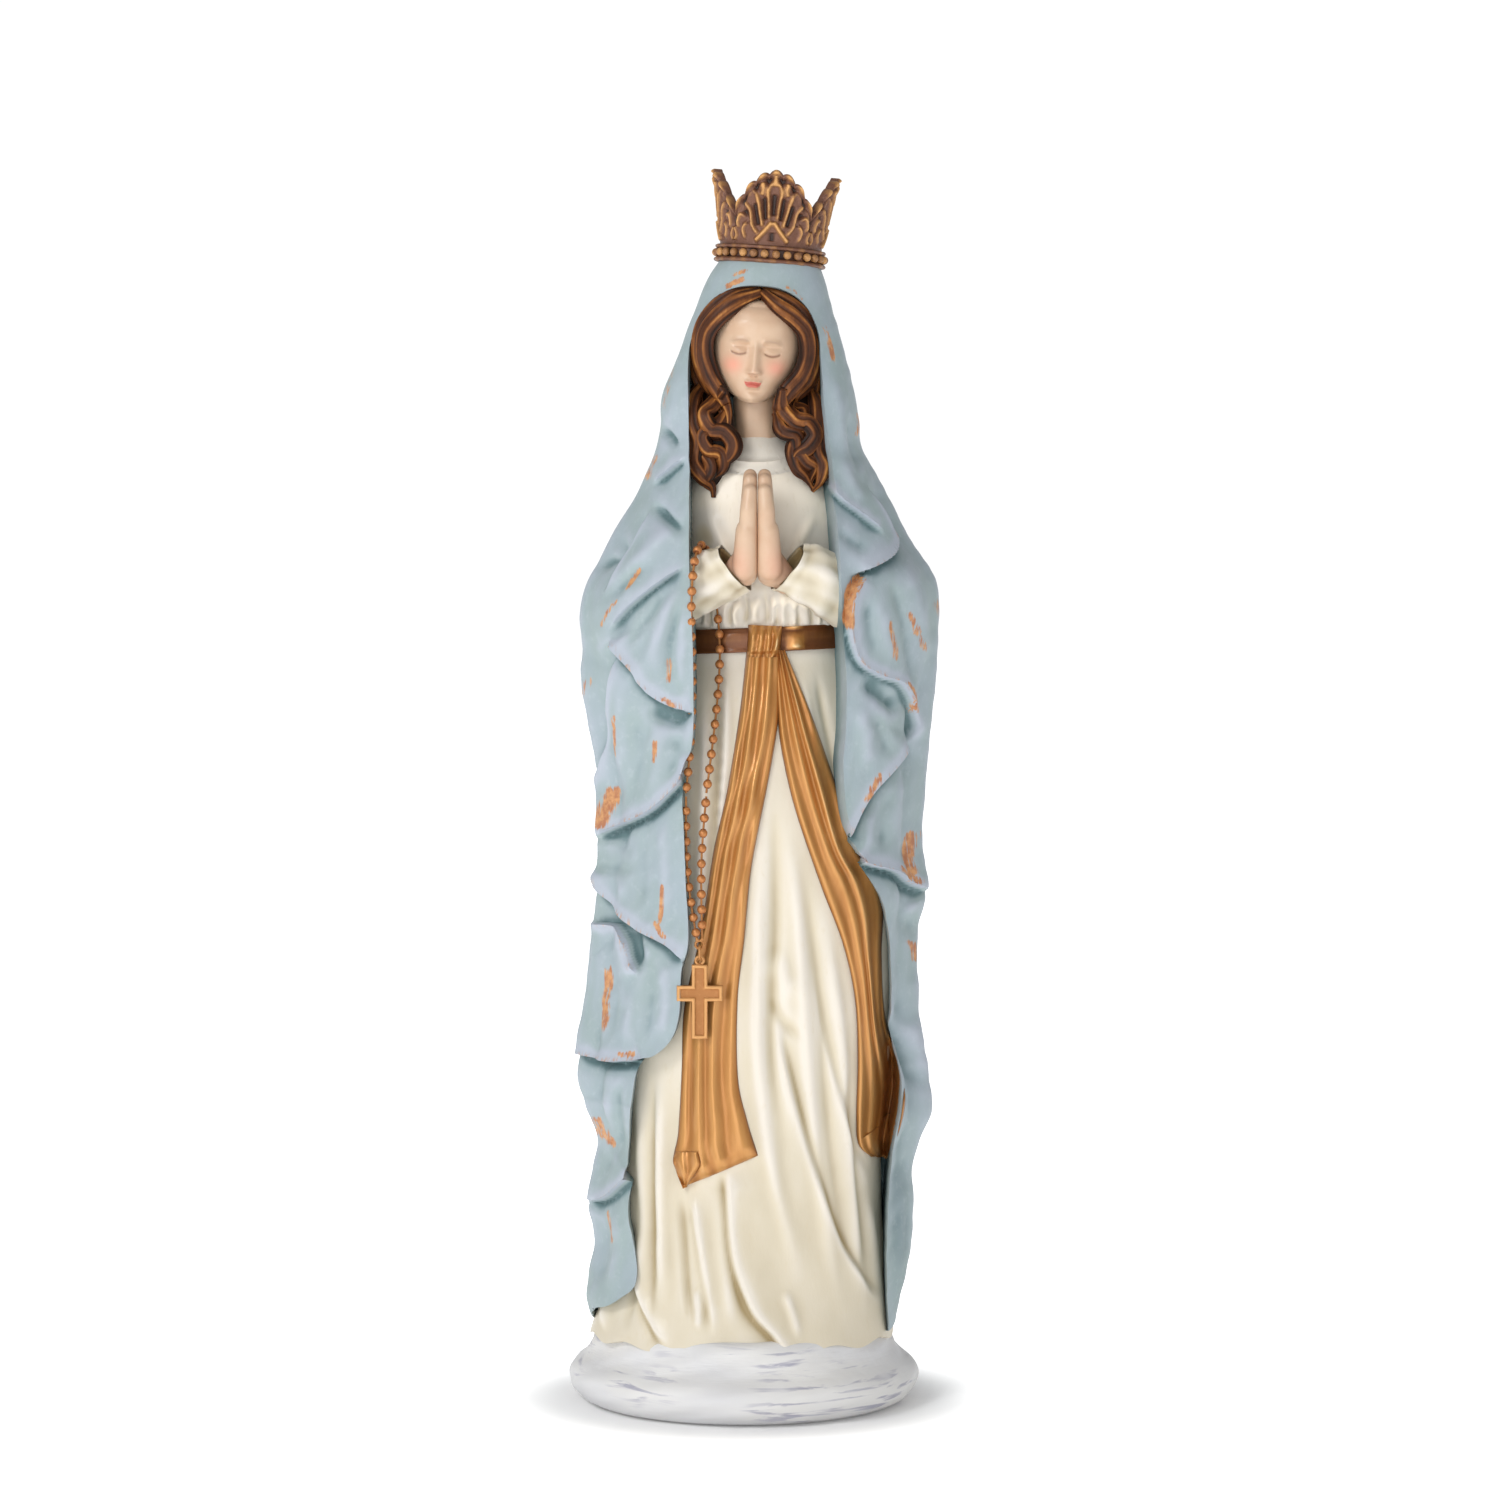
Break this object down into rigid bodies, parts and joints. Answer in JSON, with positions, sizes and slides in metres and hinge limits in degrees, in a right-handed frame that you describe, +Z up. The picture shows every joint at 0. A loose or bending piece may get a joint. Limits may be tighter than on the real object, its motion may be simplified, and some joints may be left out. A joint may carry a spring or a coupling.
{
  "type": "madonna statue",
  "caption": "Standing crowned madonna in a hooded mantle on a round plinth, hands joined in prayer, with a bead rosary and cross hanging from the right forearm.",
  "frame": {"origin": "centre of the plinth's underside", "axes": "+Z up along the figure, front towards -Y, +X to the figure's left"},
  "size_m": [0.1138, 0.1066, 0.3763],
  "materials": {
    "white_paint": "matt, hand brushed",
    "ivory_paint": "matt with an ochre wash in the folds",
    "blue_grey_paint": "matt with copper dry-brushing on the ridges",
    "antique_gold_paint": "satin, darker in the pleats",
    "flesh_paint": "satin",
    "hair_paint": "satin with golden dry-brushing",
    "bronze_gold": "antiqued",
    "gilt_wire": "satin",
    "copper_beads": "satin",
    "gilt_cross": "satin"
  },
  "bodies": {
    "root": {"plinth": "white_paint", "skirt": "ivory_paint", "bodice": "ivory_paint", "collar": "ivory_paint", "right_sleeve": "ivory_paint", "left_sleeve": "ivory_paint", "mantle": "blue_grey_paint", "belt": "antique_gold_paint", "sash_knot": "antique_gold_paint", "sash_right_tail": "antique_gold_paint", "sash_left_tail": "antique_gold_paint", "head_and_neck": "flesh_paint", "right_hand": "flesh_paint", "left_hand": "flesh_paint", "hair_top": "hair_paint", "hair_right_locks": "hair_paint", "hair_left_locks": "hair_paint", "rosary_upper_wire": "gilt_wire", "rosary_upper_beads": "copper_beads"},
    "crown": {"crown_band": "bronze_gold", "crown_pearls": "bronze_gold", "crown_front_crest": "bronze_gold", "crown_back_crest": "bronze_gold", "crown_left_crest": "bronze_gold", "crown_right_crest": "bronze_gold"},
    "rosary_drop": {"rosary_front_wire": "gilt_wire", "rosary_front_beads": "copper_beads", "rosary_back_wire": "gilt_wire", "rosary_back_beads": "copper_beads", "rosary_end_link": "gilt_wire"},
    "jump_ring": {"rosary_jump_ring": "gilt_wire"},
    "cross": {"rosary_cross": "gilt_cross"}
  },
  "joints": [
    {"name": "crown_lift", "type": "slide", "parent": "root", "child": "crown", "axis": [0.0785, 0, 0.9969], "range_m": [0, 0.03]},
    {"name": "rosary_swing", "type": "hinge", "parent": "root", "child": "rosary_drop", "pos_m": [-0.01435, -0.0305, 0.188], "axis": [-1, 0, 0], "range_deg": [0, 40]},
    {"name": "ring_swing", "type": "hinge", "parent": "rosary_drop", "child": "jump_ring", "pos_m": [-0.0133, -0.0334, 0.142], "axis": [-1, 0, 0], "range_deg": [0, 30]},
    {"name": "cross_swing", "type": "hinge", "parent": "jump_ring", "child": "cross", "pos_m": [-0.0133, -0.0334, 0.1388], "axis": [0, 1, 0], "range_deg": [-12, 12]}
  ]
}
